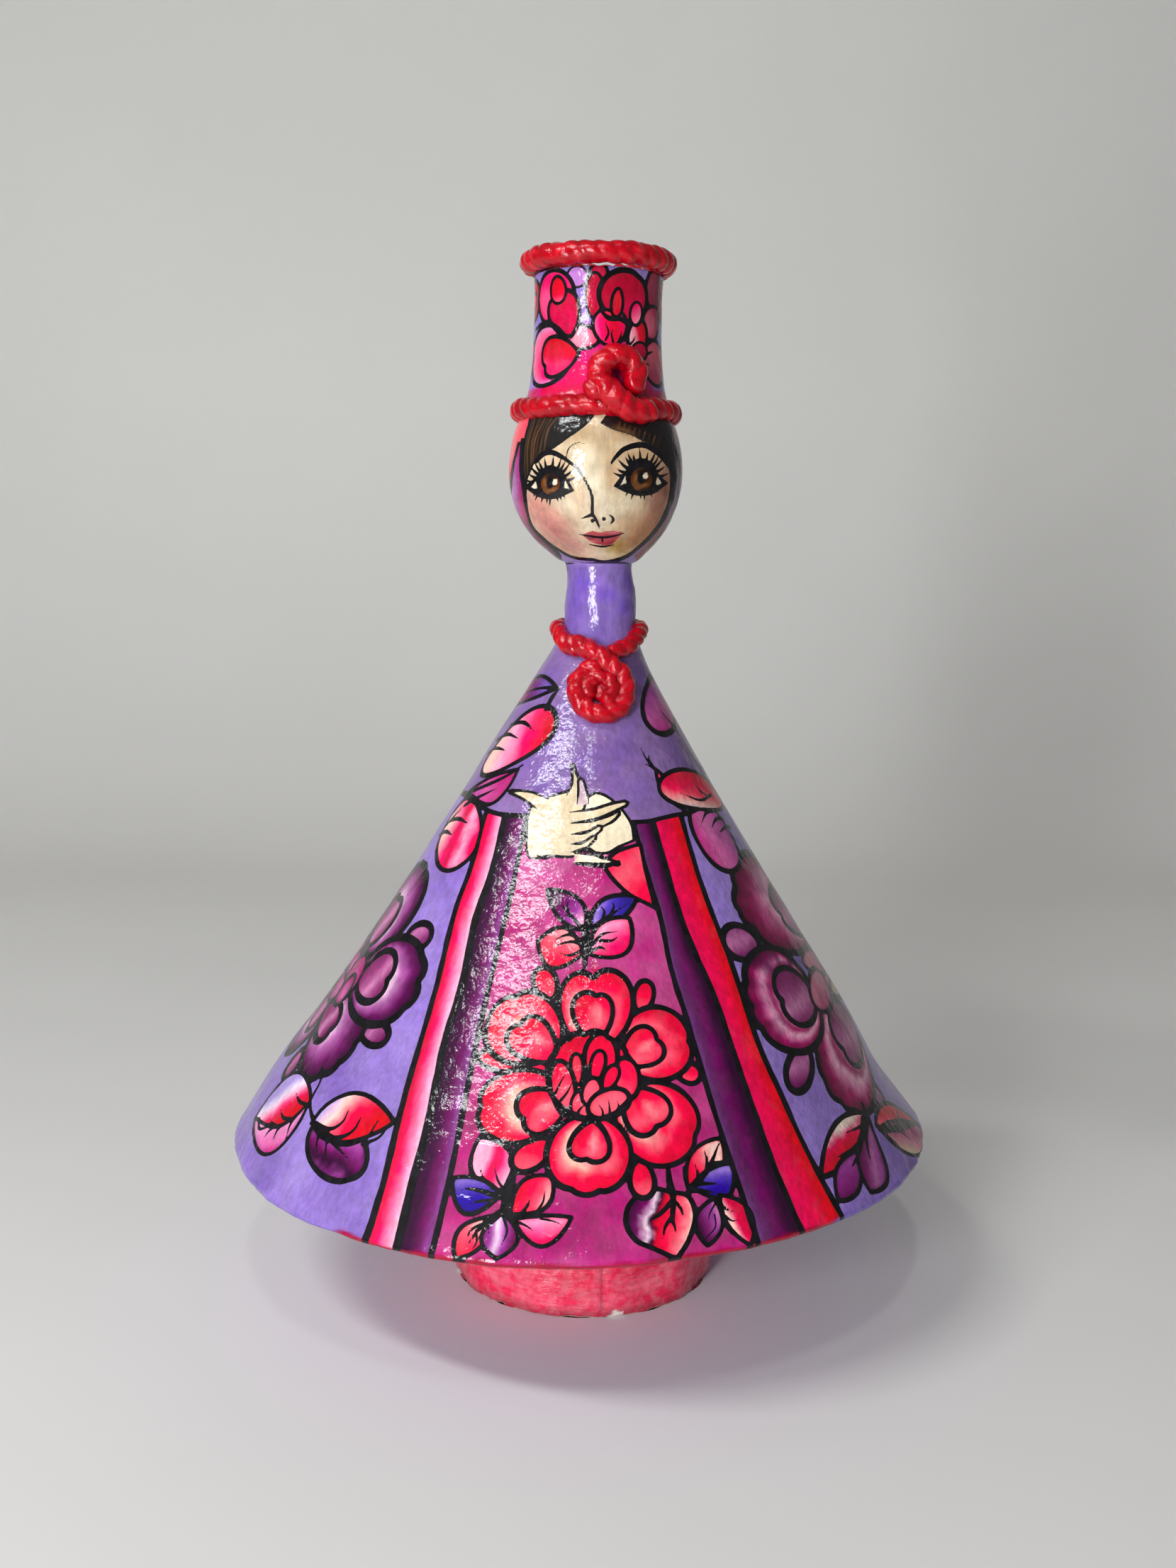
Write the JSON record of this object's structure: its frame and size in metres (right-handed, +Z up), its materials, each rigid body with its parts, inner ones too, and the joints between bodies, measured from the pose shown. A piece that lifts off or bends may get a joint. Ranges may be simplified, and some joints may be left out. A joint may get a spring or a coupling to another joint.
{
  "type": "papier-mache figure",
  "caption": "Papier-mache lady candle holder: a conical painted dress on a drum foot, an egg head and a tall tube hat open on top as a candle cup.",
  "frame": {"origin": "centre of the foot's underside, on the table", "axes": "+Z up along the figure, face towards -Y, +X to the viewer's right"},
  "size_m": [0.2501, 0.25, 0.3634],
  "materials": {
    "painted_skin": "varnished painted papier-mache, glossy over small dents and laps",
    "crimson_foot": "varnished painted papier-mache, worn at the lower edge",
    "red_cord": "painted and varnished twisted cord, wet gloss"
  },
  "bodies": {
    "root": {"figure_body": "painted_skin", "foot_drum": "crimson_foot", "hat_rim_rope": "red_cord", "hat_band_rope": "red_cord", "necklace_rope": "red_cord"}
  },
  "joints": []
}
